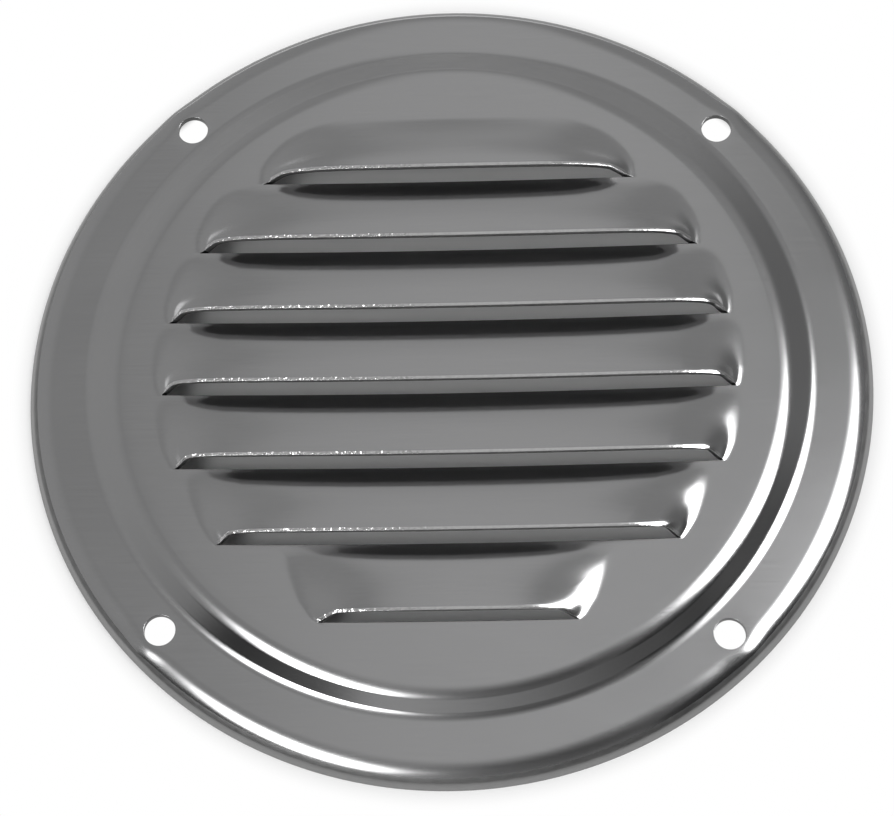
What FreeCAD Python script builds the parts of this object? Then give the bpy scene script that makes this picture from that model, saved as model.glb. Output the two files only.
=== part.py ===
import FreeCAD, Part
import math
import os

# Round louvred vent cover, pressed from one disc of stainless sheet.
# Millimetres, +Z out of the wall, louvre mouths towards -Y, rim edge on z = 0.

# Sheet
sheet = 1.0

# Outer rim, a bend and a sloped skirt trimmed flat, and the flange inside it
outer_radius = 63.5
flange_top = 2.6
rim_bend = 2.2
skirt_angle = 50.0
flange_width = 4.8

# Raised panel and the sloped step round it
panel_rise = 2.6
step_angle = 31.0
step_shoulder_bend = 4.6
step_foot_bend = 2.2

# Screw holes along the middle of the flange
hole_diameter = 4.6
hole_count = 4
first_hole_angle = 43.8

# Louvres: hoods lanced along a slit and raised, the slit on the -Y side
# Slit tips lie on one circle and back corners on another, both set in from the edge
# of the flat panel, and a land stays flat between a hood's crease and the next slit
hood_pitch = 11.75
middle_slit = -4.9
crease_land = 1.25
slat_angle = 18.8
last_slat_angle = 15.5
lip_setback = 0.62
tip_inset = 6.6
tip_circle_centre = -1.75
corner_inset = 4.8
end_wall_angle = 46.0
crown_bend = 2.5
hood_foot_bend = 0.9

# Sizes that follow from those above
skirt_turn = math.radians(skirt_angle)
step_turn = math.radians(step_angle)
end_slope = math.tan(math.radians(end_wall_angle))
panel_top = flange_top + panel_rise
skirt_drop = flange_top - rim_bend * (1 - math.cos(skirt_turn))
skirt_run = skirt_drop / math.tan(skirt_turn)
flange_outer_radius = outer_radius - skirt_run - rim_bend * math.sin(skirt_turn)
flange_inner_radius = flange_outer_radius - flange_width
hole_circle_radius = 0.5 * (flange_outer_radius + flange_inner_radius)
step_bends = step_shoulder_bend + step_foot_bend
slope_drop = panel_rise - step_bends * (1 - math.cos(step_turn))
slope_run = slope_drop / math.tan(step_turn)
panel_flat_radius = flange_inner_radius - slope_run - step_bends * math.sin(step_turn)
hood_depth = hood_pitch - crease_land
tip_circle_radius = panel_flat_radius - tip_inset
corner_circle_radius = panel_flat_radius - corner_inset

# Building aids: how far forms sink into each other, how far a hood runs on past
# its slit before it is trimmed there, and the length taken as nothing
overlap = 0.8 * sheet
over_run = 0.75 * hood_depth
nothing = 1e-3


def vec(x, y, z):
    return FreeCAD.Vector(x, y, z)


def line(a, b):
    return Part.LineSegment(a, b).toShape()


def arc(centre, radius, start, end):
    # Arc in the XZ plane between two angles in degrees, from +X towards +Z.
    points = []
    for angle in (start, 0.5 * (start + end), end):
        turn = math.radians(angle)
        points.append(centre + vec(radius * math.cos(turn), 0, radius * math.sin(turn)))
    return Part.Arc(*points).toShape()


def disc_form(inset, floor):
    # Solid of revolution under the disc, its skin a given inset below the outer skin.
    shoulder_centre = vec(panel_flat_radius, 0, panel_top - step_shoulder_bend)
    foot_centre = vec(flange_inner_radius, 0, flange_top + step_foot_bend)
    rim_centre = vec(flange_outer_radius, 0, flange_top - rim_bend)
    shoulder = arc(shoulder_centre, step_shoulder_bend - inset, 90, 90 - step_angle)
    foot = arc(foot_centre, step_foot_bend + inset, 270 - step_angle, 270)
    rim = arc(rim_centre, rim_bend - inset, 90, 90 - skirt_angle)
    skirt_start = rim.lastVertex().Point
    corner = vec(skirt_start.x + (skirt_start.z - floor) / math.tan(skirt_turn), 0, floor)
    chain = [vec(0, 0, floor), vec(0, 0, panel_top - inset), shoulder, foot, rim, corner]
    edges = []
    end = chain[0]
    for item in chain[1:] + chain[:1]:
        bend = isinstance(item, Part.Shape)
        start = item.firstVertex().Point if bend else item
        if end.distanceToPoint(start) > nothing:
            edges.append(line(end, start))
        if bend:
            edges.append(item)
        end = item.lastVertex().Point if bend else item
    return Part.Face(Part.Wire(edges)).revolve(vec(0, 0, 0), vec(0, 0, 1), 360)


def row_prism(points):
    # Prism along X over the whole panel, from an outline in the YZ plane.
    wide = 2 * panel_flat_radius
    outline = [vec(-0.5 * wide, y, z) for y, z in points]
    return Part.Face(Part.makePolygon(outline + outline[:1])).extrude(vec(wide, 0, 0))


def end_prism(bearing, reach, floor, tall):
    # Prism under an end wall that faces a bearing, given the reach of its foot.
    half = 2 * panel_flat_radius
    top = floor + tall
    profile = [(-half, floor), (reach, floor), (reach - tall / end_slope, top), (-half, top)]
    outline = [vec(out, -half, z) for out, z in profile]
    prism = Part.Face(Part.makePolygon(outline + outline[:1])).extrude(vec(0, 2 * half, 0))
    prism.rotate(vec(0, 0, 0), vec(0, 0, 1), bearing)
    return prism


def half_width(radius, offset):
    # Half the width of a circle at an offset from its centre, none outside it.
    return math.sqrt(max(radius ** 2 - offset ** 2, 0))


def slit_half_length(slit):
    return half_width(tip_circle_radius, slit - tip_circle_centre)


def slits():
    # The rows, from +Y to -Y, as long as half an edge is longer than a hood is deep.
    most = int(2 * panel_flat_radius / hood_pitch)
    rows = []
    for number in range(-most, most + 1):
        slit = middle_slit - number * hood_pitch
        edges = (slit_half_length(slit), half_width(corner_circle_radius, slit + hood_depth))
        if min(edges) > hood_depth:
            rows.append(slit)
    return rows


def is_crown(core, edge):
    # Whether an edge lies between the slat, which leans straight back, and an end wall.
    normals = [face.normalAt(0, 0) for face in core.ancestorsOfType(edge, Part.Face)]
    sloped = [normal for normal in normals if nothing < normal.z < 1 - nothing]
    slats = [normal for normal in sloped if abs(normal.x) < nothing]
    return len(sloped) == 2 and len(slats) == 1


def hood_form(slit, rise_angle, inset):
    # Solid under one hood, its skin a given inset below the outer skin.
    # The slat is a ramp that rises from a crease at the back to the lip, and a sloped
    # wall from slit tip to back corner closes each end. The crown where they meet is
    # rounded over, and the foot of the hood runs out into the panel.
    slat_slope = math.tan(math.radians(rise_angle))
    crease = slit + hood_depth
    plate = panel_top - inset
    floor = plate - overlap
    front = slit - over_run
    ramp_drop = inset / math.cos(math.radians(rise_angle))
    end_drop = inset / math.cos(math.radians(end_wall_angle))

    def ramp(y):
        return panel_top + (crease - y) * slat_slope - ramp_drop

    back = crease + (panel_top - ramp_drop - floor) / slat_slope
    ramp_solid = row_prism([(front, floor), (front, ramp(front)), (back, floor)])
    tall = ramp(front) - floor + sheet
    tip = slit_half_length(slit)
    turn = math.atan2(tip - half_width(corner_circle_radius, crease), hood_depth)
    foot_reach = tip * math.cos(turn) + slit * math.sin(turn)
    reach = foot_reach + (panel_top - end_drop - floor) / end_slope
    right_end = end_prism(math.degrees(turn), reach, floor, tall)
    left_end = end_prism(180 - math.degrees(turn), reach, floor, tall)
    core = ramp_solid.common(right_end).common(left_end)
    crown = [edge for edge in core.Edges if is_crown(core, edge)]
    core = core.makeFillet(crown_bend - inset, crown)

    margin = panel_flat_radius
    ground = Part.makeCylinder(margin, overlap, vec(0, 0, floor))
    ground = ground.common(Part.makeBox(2 * margin, 2 * margin, overlap, vec(-margin, front, floor)))
    form = ground.fuse(core).removeSplitter()
    foot = []
    for edge in form.Edges:
        middle = edge.valueAt(0.5 * (edge.FirstParameter + edge.LastParameter))
        level = max(edge.BoundBox.ZMax - plate, plate - edge.BoundBox.ZMin) < nothing
        inside = max(math.hypot(v.X, v.Y) for v in edge.Vertexes) < margin - nothing
        if level and inside and middle.y > front + nothing:
            foot.append(edge)
    form = form.makeFillet(hood_foot_bend + inset, foot)

    # The outer skin ends at a lip cut square to the slat, the hollow at the slit.
    high = plate + tall
    if inset:
        keep = [(slit, floor), (slit, high)]
    else:
        lip = slit + lip_setback
        under = ramp(lip) - sheet / math.cos(math.radians(rise_angle))
        keep = [(lip, floor), (lip, under), (lip + (high - under) * slat_slope, high)]
    return form.common(row_prism(keep + [(margin, high), (margin, floor)]))


skin = disc_form(0, 0)
hollow = disc_form(sheet, -overlap)
rows = slits()
for slit in rows:
    rise_angle = last_slat_angle if slit == rows[-1] else slat_angle
    skin = skin.fuse(hood_form(slit, rise_angle, 0))
    hollow = hollow.fuse(hood_form(slit, rise_angle, sheet))
cover = skin.cut(hollow)

for number in range(hole_count):
    turn = math.radians(first_hole_angle + number * 360.0 / hole_count)
    spot = vec(hole_circle_radius * math.cos(turn), hole_circle_radius * math.sin(turn), 0)
    cover = cover.cut(Part.makeCylinder(0.5 * hole_diameter, panel_top, spot))
cover = cover.removeSplitter()

os.makedirs("parts", exist_ok=True)
cover.exportStep("parts/vent_cover.step")
print("solids", len(cover.Solids), "valid", cover.isValid(), "volume", round(cover.Volume, 1))
print("box", cover.BoundBox)
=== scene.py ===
import math

import bmesh
import bpy
import numpy as np
from mathutils import Matrix, Vector


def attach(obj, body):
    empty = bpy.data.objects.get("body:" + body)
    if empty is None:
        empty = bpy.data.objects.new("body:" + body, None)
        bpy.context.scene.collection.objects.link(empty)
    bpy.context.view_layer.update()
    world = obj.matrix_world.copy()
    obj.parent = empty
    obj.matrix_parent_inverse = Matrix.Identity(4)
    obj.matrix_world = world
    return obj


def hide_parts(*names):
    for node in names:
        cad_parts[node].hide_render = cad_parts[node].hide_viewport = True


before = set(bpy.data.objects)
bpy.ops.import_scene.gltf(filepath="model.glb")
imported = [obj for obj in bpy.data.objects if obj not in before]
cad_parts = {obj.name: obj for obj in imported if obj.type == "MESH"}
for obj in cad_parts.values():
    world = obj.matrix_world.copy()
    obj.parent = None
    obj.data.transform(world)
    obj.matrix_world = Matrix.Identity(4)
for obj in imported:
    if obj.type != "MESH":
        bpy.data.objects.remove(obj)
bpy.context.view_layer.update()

# Raised panel with its rows of louvres, the middle of one disc of stainless sheet.
# A lancing tool slits the sheet along each row and pushes it up into a hood in one
# stroke, so every hood has a bowed slat, a crease behind it and two domed ends.
mm = 0.001
sheet = 1.0 * mm
panel_top = 5.2 * mm
panel_radius = 47.8 * mm
row_count = 7
row_pitch = 11.75 * mm
row_bow = 0.5 * mm
middle_slit = -4.9 * mm

# Slats: the lowest row, nearest -Y, rises less than the others
hood_depth = 11.2 * mm
slat_rise = 3.5 * mm
low_slat_rise = 2.75 * mm
slat_bow = 0.85
crease_reach = 0.8 * mm
lip_setback = 0.94 * mm
setback_gain = 2.0
lip_roll = 0.5 * mm
lip_roll_drop = 0.1 * mm

# Outline of a hood: slit tips lie on one circle and back corners on another
tip_circle = 42.68 * mm
tip_circle_centre = -1.75 * mm
corner_circle = 44.9 * mm
back_corner = 3.0 * mm
most_flare = 6.5 * mm
almost_back = 0.999

# Domed ends: steep at the lip, longer along the flanks, softer where a hood draws in
lip_dome_run = 3.2 * mm
low_lip_dome_run = 4.5 * mm
flank_run = 5.0 * mm
low_flank_run = 3.5 * mm
flank_start = 0.12
flank_spread = 0.5
end_softness = 0.84
draw_in_softness = 0.6
end_foot_reach = 1.0 * mm
tip_foot_share = 0.5
foot_growth = 2.0
crown_power = 2.0
nothing = 1e-6


def half_width(radius, offset):
    # Half the width of a circle at an offset from its centre, none outside it.
    return np.sqrt(np.maximum(radius ** 2 - offset ** 2, 0))


def soft_ramp(run, slope, reach):
    # Height of a slope that lifts off a flat through a bend of the given half length.
    bend = slope * (run + reach) ** 2 / (4 * reach)
    return np.where(run < -reach, 0, np.where(run > reach, slope * run, bend))


def hood_height(x, y, slit, rise, lip_run, side_run):
    # Height of one hood above the panel. The slat rises from the crease to the lip, and
    # each end is a dome that falls off to a rounded outline, steepest at the lip.
    tip = half_width(tip_circle, slit - tip_circle_centre)
    corner = half_width(corner_circle, slit + hood_depth)
    back = np.clip((y - slit) / hood_depth, 0, almost_back)
    flare = np.clip(corner - tip, 0, most_flare)
    draw_in = max(tip - corner, 0) + back_corner
    outline = tip + flare * back - draw_in * (1 - np.sqrt(1 - back ** 2))
    foot = end_foot_reach * (tip_foot_share + np.minimum(foot_growth * back, 1 - tip_foot_share))
    inward = soft_ramp(outline - np.abs(x), 1.0, foot)
    grown = np.clip((back - flank_start) / flank_spread, 0, 1)
    run = lip_run + side_run * grown ** 2 * (3 - 2 * grown)
    run = run * (end_softness + draw_in_softness * draw_in / hood_depth)
    dome = (1 + (run / np.maximum(inward, nothing)) ** crown_power) ** (-1 / crown_power)
    forward = soft_ramp(slit + hood_depth - y, 1.0, crease_reach) / hood_depth
    return rise * ((1 + slat_bow) * forward - slat_bow * forward ** 2) * dome


# Grid lines: columns follow the round of the panel and crowd at the louvre ends, and
# rows run along the slits, where the grid parts between the two tips.
low_edge = -42.4 * mm
high_edge = 42.9 * mm
fine_from = 12.0 * mm
fine_circle = 46.5 * mm
middle_columns = 8
fine_columns = 30
outer_columns = 5
rows_below = 6
lip_from = 0.07
slat_from = 0.2
crease_from = 0.8
lip_rows = 5
slat_rows = 13
crease_rows = 12


def even_shares(start, stop, count):
    # Evenly spaced shares from start, without stop, where the next stretch starts.
    return np.linspace(start, stop, count + 1)[:-1]


row_shares = np.concatenate([
    [0, lip_roll / row_pitch],
    even_shares(lip_from, slat_from, lip_rows),
    even_shares(slat_from, crease_from, slat_rows),
    even_shares(crease_from, 1, crease_rows), [1]])


def whole_row(y):
    # Places of the columns along a row, mirrored about the middle.
    circle = half_width(fine_circle, y)
    edge = half_width(panel_radius, y)
    inner = circle - fine_from
    right = np.concatenate([
        inner * even_shares(0, 1, middle_columns),
        inner + fine_from * even_shares(0, 1, fine_columns),
        circle + (edge - circle) * np.append(even_shares(0, 1, outer_columns), 1)])
    return np.concatenate([-right[:0:-1], right])


# Places of the finishes in the sheet's list of materials
satin, sheared, shaded_back, lip_highlight, shaded_outer = range(5)
mesh = bmesh.new()


def add_row(xs, ys, zs):
    # A row of vertices. Rows bow a little towards +Y at both ends.
    bowed = ys + row_bow * (xs / tip_circle) ** 2
    return [mesh.verts.new(place) for place in zip(xs, bowed, zs)]


def join_rows(lower, upper, material=satin, above=0):
    # Faces between two rows of vertices, with a finish of their own above a height.
    for i in range(len(lower) - 1):
        face = mesh.faces.new([lower[i], lower[i + 1], upper[i + 1], upper[i]])
        if min(lower[i].co.z, lower[i + 1].co.z) >= above:
            face.material_index = material


middle_number = 0.5 * (row_count - 1)
slits = [middle_slit + (number - middle_number) * row_pitch for number in range(row_count)]
lowest_slit = slits[0]
panel_rows = []
for y in np.linspace(low_edge, lowest_slit, rows_below + 1):
    xs = whole_row(y)
    row = add_row(xs, np.full(len(xs), y), np.full(len(xs), panel_top))
    if panel_rows:
        join_rows(panel_rows[-1], row)
    panel_rows.append(row)

hood_form = (slat_rise, lip_dome_run, flank_run)
low_hood_form = (low_slat_rise, low_lip_dome_run, low_flank_run)
roll_height = panel_top + 2 * lip_roll_drop
last_row = panel_rows[-1]
for slit, stop in zip(slits, slits[1:] + [high_edge]):
    form = low_hood_form if slit == lowest_slit else hood_form
    rise = form[0]
    tip = half_width(tip_circle, slit - tip_circle_centre)
    for index, share in enumerate(row_shares):
        y = slit + share * (stop - slit)
        xs = whole_row(y)
        # The lip stands back from the slit by as much as the hood is open there.
        open_height = hood_height(xs, np.full(len(xs), slit), slit, *form)
        opened = np.clip(setback_gain * open_height / rise, 0, 1)
        setback = np.where(np.abs(xs) < tip, lip_setback * opened, 0)
        ys = y + setback * (1 - share)
        zs = panel_top + hood_height(xs, ys, slit, *form)
        if index == 0:
            # The lip's edge is rolled down, and beyond the tips the sheet isn't cut.
            row = add_row(xs, ys, zs - lip_roll_drop * opened)
            for i, x in enumerate(xs):
                if abs(x) >= tip:
                    mesh.verts.remove(row[i])
                    row[i] = last_row[i]
        else:
            row = add_row(xs, ys, zs)
            join_rows(last_row, row, lip_highlight if index == 1 else satin, roll_height)
            panel_rows.append(row)
        last_row = row

# Flat caps of the panel beyond its first and last rows
cap_steps = 40
high_angle = math.asin(high_edge / panel_radius)
low_angle = math.asin(low_edge / panel_radius)
high_cap = np.linspace(high_angle, math.pi - high_angle, cap_steps + 1)[1:-1]
low_cap = np.linspace(math.pi - low_angle, 2 * math.pi + low_angle, cap_steps + 1)[1:-1]


def ring_row(angles, radius, z, shift=0):
    # Vertices round the centre, with one radius and height for all angles or one for each.
    radii = np.broadcast_to(radius, len(angles))
    heights = np.broadcast_to(z, len(angles))
    return [mesh.verts.new((out * math.cos(angle), out * math.sin(angle) + shift, height))
            for angle, out, height in zip(angles, radii, heights)]


def flat_face(loops):
    # Flat triangles between closed loops of vertices that lie in one level plane.
    edges = []
    for loop in loops:
        for a, b in zip(loop, loop[1:] + loop[:1]):
            edges.append(mesh.edges.get((a, b)) or mesh.edges.new((a, b)))
    bmesh.ops.triangle_fill(mesh, use_beauty=True, use_dissolve=False, edges=edges, normal=(0, 0, 1))


high_arc = ring_row(high_cap, panel_radius, panel_top)
low_arc = ring_row(low_cap, panel_radius, panel_top)
flat_face([panel_rows[-1] + high_arc])
flat_face([panel_rows[0][::-1] + low_arc])
right_edge = [row[-1] for row in panel_rows]
left_edge = [row[0] for row in panel_rows]
ring = right_edge + high_arc + left_edge[::-1] + low_arc
angles = [math.atan2(vertex.co.y, vertex.co.x) for vertex in ring]

# Step, flange and rim round the panel: a shoulder and a foot bend with a slope between
# them, a flat flange with four plain screw holes, and an edge that bends down to the wall
# and is trimmed there. They are drawn in the same press stroke from the same sheet.
flange_top = 2.6 * mm
shoulder_inner = 48.85 * mm
shoulder_bend = 4.6 * mm
shoulder_shift = -0.4 * mm
shoulder_steps = 12
step_turn = math.radians(31.0)
flange_inner = 55.08 * mm
foot_bend = 3.0 * mm
foot_shift = 0.6 * mm
foot_steps = 10
flange_outer = 59.4 * mm
rim_top = 62.85 * mm
rim_turn = math.radians(42.0)
rim_steps = 12
# From here out along the rim's bend the faces take the outer rim's painted shade.
shaded_outer_from = 0.8 * rim_turn
outer_radius = 63.5 * mm
hole_radius = 2.3 * mm
hole_circle = 57.89 * mm
hole_turns = [math.radians(43.8 + 90 * number) for number in range(4)]
hole_steps = 56
hole_margin = 0.86 * mm
hole_margin_turn = math.radians(2.4)


def grow(ring, new, material=satin):
    # Joins the next ring to the one inside it, and hands it on.
    join_rows(new + new[:1], ring + ring[:1], material)
    return new


# The shoulder and the foot are set off centre, so that the step narrows towards -Y.
for turn in np.linspace(0, step_turn, shoulder_steps + 1):
    radius = shoulder_inner + shoulder_bend * math.sin(turn)
    drop = shoulder_bend * (1 - math.cos(turn))
    ring = grow(ring, ring_row(angles, radius, panel_top - drop, shoulder_shift))
for turn in np.linspace(step_turn, 0, foot_steps + 1):
    radius = flange_inner - foot_bend * math.sin(turn)
    climb = foot_bend * (1 - math.cos(turn))
    ring = grow(ring, ring_row(angles, radius, flange_top + climb, foot_shift))
flange_inner_loop = ring

# The rim's bend starts further out beside the holes, so that the flange is flat round them.
whole_turn = 2 * math.pi
from_holes = [np.abs((np.array(angles) - turn + math.pi) % whole_turn - math.pi) for turn in hole_turns]
from_hole = np.min(from_holes, 0)
bend_starts = flange_outer + hole_margin * np.exp(-(from_hole / hole_margin_turn) ** 2)
rim_bends = (rim_top - bend_starts) / math.sin(rim_turn)


def rim_row(turn):
    # Ring on the rim's bend, at a turn from the level flange.
    radii = bend_starts + rim_bends * math.sin(turn)
    return ring_row(angles, radii, flange_top - rim_bends * (1 - math.cos(turn)))


ring = rim_row(0)
flange_loops = [flange_inner_loop, ring]
for turn in hole_turns:
    x = hole_circle * math.cos(turn)
    y = hole_circle * math.sin(turn)
    around = [whole_turn * step / hole_steps for step in range(hole_steps)]
    flange_loops.append([
        mesh.verts.new((x + hole_radius * math.cos(a), y + hole_radius * math.sin(a), flange_top))
        for a in around])
flat_face(flange_loops)
for turn in np.linspace(0, rim_turn, rim_steps + 1)[1:]:
    ring = grow(ring, rim_row(turn), shaded_outer if turn > shaded_outer_from else satin)
grow(ring, ring_row(angles, outer_radius, 0), shaded_outer)

bmesh.ops.recalc_face_normals(mesh, faces=mesh.faces)
if sum(face.normal.z * face.calc_area() for face in mesh.faces) < 0:
    bmesh.ops.reverse_faces(mesh, faces=mesh.faces)
cover_mesh = bpy.data.meshes.new("vent_cover_sheet")
mesh.to_mesh(cover_mesh)
mesh.free()
for face in cover_mesh.polygons:
    face.use_smooth = True
cover = bpy.data.objects.new("vent_cover_sheet", cover_mesh)
bpy.context.scene.collection.objects.link(cover)
thickness = cover.modifiers.new("sheet thickness", "SOLIDIFY")
thickness.thickness = sheet
thickness.offset = -1
thickness.material_offset = shaded_back - satin
thickness.material_offset_rim = sheared - satin
broken_edge = cover.modifiers.new("broken edges", "BEVEL")
broken_edge.width = 0.06 * mm
broken_edge.segments = 2
broken_edge.limit_method = "ANGLE"
broken_edge.angle_limit = math.radians(50)
broken_edge.use_clamp_overlap = False
broken_edge.harden_normals = True


# Finishes of the sheet: stainless steel with a satin face and fine rolling lines along the
# louvres. Lancing rolls the lips and marks them on the left, and the lips are painted lighter
# than the steel, a painted highlight. Shearing leaves rougher, somewhat darker cut edges,
# painted darker still as painted shade. The outer rim and its trimmed wall are rougher and
# painted darker, painted shade, and the back is left rough from the mill and painted darker,
# also painted shade.
class Wire:
    # An output in a shader tree. Sums on it add Math nodes to the same tree.
    def __init__(self, tree, socket=None):
        self.tree = tree
        self.socket = socket

    def node(self, kind, settings, sockets, output=0):
        # Any other node: its settings first, then the values or links of its sockets.
        made = self.tree.nodes.new(kind)
        for name, value in settings.items():
            setattr(made, name, value)
        for name, value in sockets.items():
            if isinstance(value, Wire):
                self.tree.links.new(value.socket, made.inputs[name])
            else:
                made.inputs[name].default_value = value
        return Wire(self.tree, made.outputs[output])

    def math(self, operation, first, second):
        return self.node("ShaderNodeMath", {"operation": operation}, {0: first, 1: second})

    def __add__(self, other):
        return self.math("ADD", self, other)

    def __sub__(self, other):
        return self.math("SUBTRACT", self, other)

    def __rsub__(self, other):
        return self.math("SUBTRACT", other, self)

    def __mul__(self, other):
        return self.math("MULTIPLY", self, other)

    __radd__ = __add__
    __rmul__ = __mul__

    def step(self, low, high):
        # Runs smoothly from 0 at low to 1 at high.
        return self.node("ShaderNodeMapRange", {"interpolation_type": "SMOOTHSTEP"},
                         {"Value": self, "From Min": low, "From Max": high})

    def dot(self, direction):
        return self.node("ShaderNodeVectorMath", {"operation": "DOT_PRODUCT"},
                         {0: self, 1: direction}, "Value")

    def noise(self, scale, detail=2.0):
        # Noise of a given number of grains to the millimetre along each axis.
        place = self.node("ShaderNodeMapping", {}, {"Vector": self, "Scale": [s / mm for s in scale]})
        return self.node("ShaderNodeTexNoise", {}, {"Vector": place, "Scale": 1.0, "Detail": detail}, "Fac")

    def bump(self, strength, depth):
        # Normal of a surface with this height, at a given depth of relief.
        return self.node("ShaderNodeBump", {}, {"Strength": strength, "Distance": depth, "Height": self})


def new_finish(name, shader_values):
    # A material with constant values on its shader, and the place on the object to vary it by.
    finish = bpy.data.materials.new(name)
    finish.use_nodes = True
    shader = finish.node_tree.nodes["Principled BSDF"]
    for socket, value in shader_values.items():
        shader.inputs[socket].default_value = value
    place = Wire(finish.node_tree).node("ShaderNodeTexCoord", {}, {}, "Object")
    return finish, shader, place


def grey(level):
    return (level, level, level)


def colour_between(dark, light, share):
    return share.node("ShaderNodeMix", {"data_type": "RGBA"},
                      {"Factor": share, 6: (*dark, 1), 7: (*light, 1)}, 2)


def feed(shader, **sockets):
    # Links what varies over the surface to the shader.
    for name, wire in sockets.items():
        wire.tree.links.new(wire.socket, shader.inputs[name.replace("_", " ")])


steel, steel_shader, place = new_finish("satin stainless steel", {"Metallic": 1.0})
satin_dark = (0.535, 0.535, 0.54)
satin_light = (0.625, 0.625, 0.63)
satin_relief = 0.02 * mm
rolled = place.noise((0.12, 5.0, 5.0))
cloud = place.noise((0.05, 0.09, 0.09))
grain = place.noise((2.2, 3.4, 3.4))
tone = 0.5 * rolled + 0.3 * cloud + 0.2 * grain
feed(steel_shader, Base_Color=colour_between(satin_dark, satin_light, tone),
     Roughness=0.11 + 0.05 * rolled + 0.05 * cloud,
     Normal=(0.6 * rolled + 0.4 * grain).bump(0.06, satin_relief))

# Cut edges: rougher and somewhat darker from shearing, and painted near black beyond that, painted shade on
# the cut faces in the screw holes and under the lips.
cut, cut_shader, place = new_finish("sheared edge with painted shade", {"Metallic": 1.0})
torn = place.noise((3.0, 0.7, 0.7), 3.0)
feed(cut_shader, Base_Color=colour_between(grey(0.04), grey(0.1), torn),
     Roughness=0.3 + 0.15 * torn)

# Back: rough from the mill, and painted darker than the steel, painted shade for the hoods' dark undersides
# and their reflections beneath the lips.
shaded_back_finish, shaded_back_shader, place = new_finish("back with painted shade", {"Metallic": 1.0})
back_mottle = place.noise((0.3, 3.0, 3.0))
feed(shaded_back_shader, Base_Color=colour_between(grey(0.25), grey(0.33), back_mottle),
     Roughness=0.38 + 0.14 * back_mottle)

# Rolled lips: marked on the left by bumps, and coloured lighter than the steel, a painted highlight along
# each lip.
lip, lip_highlight_shader, place = new_finish("rolled lip with painted highlight", {"Metallic": 1.0})
marked_to = -24 * mm
smooth_from = 4 * mm
mark_relief = 0.28 * mm
notch = place.noise((1.5, 1.5, 1.5), 1.0)
across = place.node("ShaderNodeSeparateXYZ", {}, {"Vector": place}, "X")
marked = 1 - across.step(marked_to, smooth_from)
feed(lip_highlight_shader, Base_Color=colour_between(grey(0.72), grey(0.9), notch),
     Roughness=0.14 + 0.1 * marked,
     Normal=((0.08 + 0.9 * marked) * notch).bump(1.0, mark_relief))

# Outer rim: the last part of the rim's bend and its trimmed wall are rougher, and painted darker than the
# steel, painted shade that dims their reflections.
shaded_outer_finish, shaded_outer_shader, place = new_finish("outer rim with painted shade", {"Metallic": 1.0})
scuff = place.noise((0.6, 0.6, 3.0), 3.0)
feed(shaded_outer_shader, Base_Color=colour_between(grey(0.24), grey(0.34), scuff),
     Roughness=0.3 + 0.15 * scuff)

# The back of a face takes the finish two places on in this list, and its cut edge the next
# one, so the list ends with the back's painted shade again, for the lips and the outer rim.
for finish in (steel, cut, shaded_back_finish, lip, shaded_outer_finish, shaded_back_finish, shaded_back_finish):
    cover_mesh.materials.append(finish)
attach(cover, "root")
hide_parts("vent_cover")

# Floor: a sheet of white paper that the cover lies on, a backdrop and no part of it.
# It shows white beyond the object's soft shadow. Under the flange, where the flange shades
# it, it glows white, painted light that shows through the screw holes, and under the panel
# the paper is painted lighter, painted light seen through the slits.
floor_half = 1500 * mm
panel_shade = (46 * mm, 50 * mm)
flange_from = (50 * mm, 53 * mm)
flange_to = (60 * mm, 62 * mm)
shadow_to = (61.5 * mm, 66.5 * mm)
floor_mesh = bpy.data.meshes.new("floor")
floor_corners = [(floor_half * x, floor_half * y, 0) for x, y in ((-1, -1), (1, -1), (1, 1), (-1, 1))]
floor_mesh.from_pydata(floor_corners, [], [(0, 1, 2, 3)])
floor = bpy.data.objects.new("floor", floor_mesh)
bpy.context.scene.collection.objects.link(floor)
paper, paper_shader, place = new_finish("white paper", {"Roughness": 0.9})
fibre = place.noise((1.5, 1.5, 1.5))
from_centre = place.node("ShaderNodeVectorMath", {"operation": "LENGTH"}, {0: place}, "Value")
# Painted light: the paper is lighter under the panel, where the panel shades it.
painted_light_under_panel = 1 - from_centre.step(*panel_shade)
feed(paper_shader, Base_Color=colour_between(grey(0.9), grey(0.95), painted_light_under_panel + 0.02 * fibre))
# Painted light: under the flange, where it shades the paper, the paper glows white to camera, glossy and
# transmission rays.
painted_light_under_flange = from_centre.step(*flange_from) - from_centre.step(*flange_to)
beyond_shadow = from_centre.step(*shadow_to)
seen = place.node("ShaderNodeLightPath", {}, {}, "Is Camera Ray")
seen = seen + place.node("ShaderNodeLightPath", {}, {}, "Is Glossy Ray")
seen = seen + place.node("ShaderNodeLightPath", {}, {}, "Is Transmission Ray")
white = place.node("ShaderNodeEmission", {}, {"Color": (1, 1, 1, 1), "Strength": 1.0})
lit = Wire(place.tree, paper_shader.outputs[0])
shown = place.node("ShaderNodeMixShader", {}, {0: seen * (painted_light_under_flange + beyond_shadow), 1: lit, 2: white})
paper.node_tree.links.new(shown.socket, paper.node_tree.nodes["Material Output"].inputs["Surface"])
floor_mesh.materials.append(paper)

# Room: plain grey walls, lighter behind and darker in front on the right, with a large
# softbox high on the right and a smaller one in front on the left, which light the bends.
wall_level = 0.28
strip_level = 0.16
darkest_wall = 0.03
right_box_level = 6.5
left_box_level = 6.0
world = bpy.data.worlds.new("studio")
bpy.context.scene.world = world
world.use_nodes = True
toward = Wire(world.node_tree).node("ShaderNodeTexCoord", {}, {}, "Generated")


def direction(azimuth, elevation):
    # Unit vector towards an azimuth from +X and an elevation, in degrees.
    turn = math.radians(azimuth)
    lift = math.radians(elevation)
    return Vector((math.cos(lift) * math.cos(turn), math.cos(lift) * math.sin(turn), math.sin(lift)))


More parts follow.
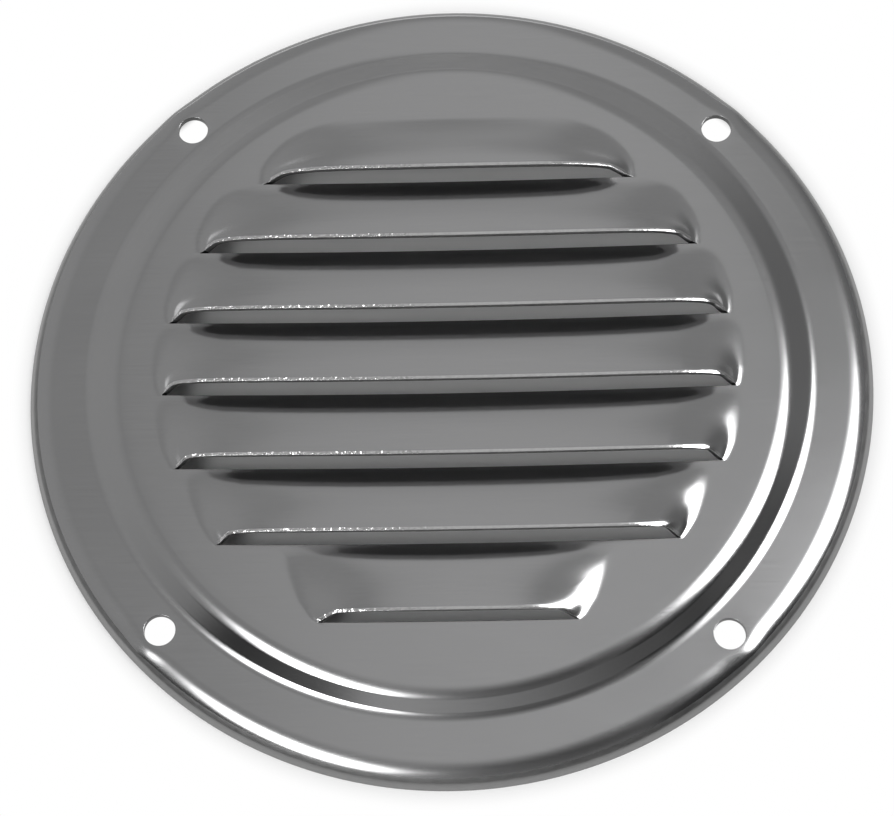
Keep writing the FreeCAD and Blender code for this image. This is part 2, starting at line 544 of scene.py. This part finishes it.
def softbox(corners, blurs):
    # Where the room shows a softbox, given its corners' directions against the clock and
    # how soft each edge is.
    lit = 1.0
    for first, second, blur in zip(corners, corners[1:] + corners[:1], blurs):
        edge = direction(*first).cross(direction(*second)).normalized()
        lit = toward.dot(edge).step(-blur, blur) * lit
    return lit


right_box = softbox([(53, 72), (-6, 67), (-14, 52), (2, 36), (30, 45)],
                    [0.06, 0.06, 0.06, 0.06, 0.1])
left_box = softbox([(195, 67), (205, 56), (222, 45), (248, 43), (252, 57)],
                   [0.08, 0.1, 0.05, 0.1, 0.09])

# A lighter strip runs up the wall behind the object. Around it the walls get lighter or
# darker by a level, towards a direction, between the cosines of a wide and a narrow angle.
strip_centre = 0.012
strip_width = 0.028
aside = toward.dot((1, 0, 0)) + strip_centre
above_floor = toward.dot((0, 0, 1)).step(0.05, 0.65)
behind = toward.dot((0, 1, 0)).step(-0.35, 0.15)
walls = wall_level + strip_level * behind * above_floor * (1 - (aside * aside).step(0.0, strip_width))
for level, middle, cosines in (
        (0.06, (150, 18), (0.6, 0.95)),
        (0.1, (262, 36), (0.7, 0.97)),
        (-0.07, (280, 57), (0.93, 0.99)),
        (-0.18, (318, 44), (0.6, 0.95)),
        (-0.12, (20, 8), (0.7, 0.95)),
        (-0.28, (226, 33), (0.92, 0.98)),
        (-0.2, (330, 41), (0.96, 0.99))):
    walls = walls + level * toward.dot(direction(*middle)).step(*cosines)
walls = walls.math("MAXIMUM", walls, darkest_wall)
brightness = walls + right_box_level * right_box + left_box_level * left_box
background = world.node_tree.nodes["Background"]
world.node_tree.links.new(brightness.socket, background.inputs["Strength"])
background.inputs["Color"].default_value = (1, 1, 1, 1)

# Camera: the photograph's viewing angle, with the lens and stand-off that give the
# same foreshortening of rim, screw holes and slits.
picture_width = 894
focal_pixels = 2384.34
sensor_width = 36
stand_off = 357.76 * mm
elevation = math.radians(67.4473)
azimuth = math.radians(5.5686)
roll = math.radians(-6.1491)
target = Vector((-0.3462 * mm, -5.1253 * mm, 0))
back = Vector((
    math.sin(azimuth) * math.cos(elevation),
    -math.cos(azimuth) * math.cos(elevation),
    math.sin(elevation)))
level = Vector((math.cos(azimuth), math.sin(azimuth), 0))
upright = back.cross(level)
right = math.cos(roll) * level + math.sin(roll) * upright
up = -math.sin(roll) * level + math.cos(roll) * upright
camera_data = bpy.data.cameras.new("camera")
camera_data.sensor_fit = "HORIZONTAL"
camera_data.sensor_width = sensor_width
camera_data.lens = sensor_width * focal_pixels / picture_width
camera_data.clip_start = 10 * mm
camera = bpy.data.objects.new("camera", camera_data)
bpy.context.scene.collection.objects.link(camera)
facing = Matrix((right, up, back)).transposed()
camera.matrix_world = Matrix.Translation(target + back * stand_off) @ facing.to_4x4()
bpy.context.scene.camera = camera

bpy.context.scene.view_settings.view_transform = "Standard"
